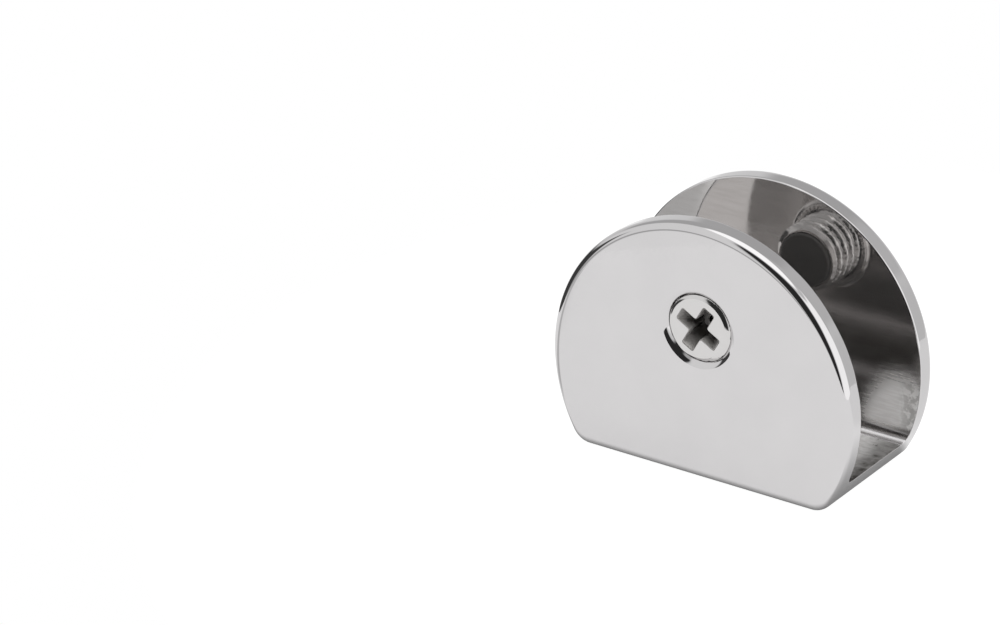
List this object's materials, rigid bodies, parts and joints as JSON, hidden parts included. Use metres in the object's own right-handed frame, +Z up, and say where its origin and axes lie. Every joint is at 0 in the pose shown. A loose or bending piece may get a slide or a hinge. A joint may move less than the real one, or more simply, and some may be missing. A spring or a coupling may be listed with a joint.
{
  "type": "glass panel clamp",
  "caption": "Chrome-plated D-shaped U clamp that grips the edge of a glass shelf or panel with a headless screw and soft pad.",
  "frame": {"origin": "middle of the flat sole, on the surface the clamp is fixed to", "axes": "+Z up out of the sole and along the way the glass leaves, X across the width, and -Y out of the plate that carries the screw"},
  "size_m": [0.038, 0.0176, 0.0298],
  "materials": {
    "body_chrome": "polished chrome on cast zinc alloy",
    "screw_chrome": "bright chrome plate",
    "pad_rubber": "matt black moulded"
  },
  "bodies": {
    "body": {"clamp_body": "body_chrome"},
    "pad": {"pressure_pad": "pad_rubber"},
    "screw": {"clamp_screw": "screw_chrome"}
  },
  "joints": [
    {"name": "screw_travel", "type": "slide", "parent": "body", "child": "pad", "axis": [0, 1, 0], "range_m": [-0.0055, 0.0015]},
    {"name": "screw_turn", "type": "hinge", "parent": "pad", "child": "screw", "pos_m": [0, -0.00865, 0.01775], "axis": [0, 1, 0], "range_deg": [-1584, 432]}
  ],
  "couplings": [
    {"joint": "screw_turn", "follows": "screw_travel", "rad_per_m": 5026.5}
  ]
}
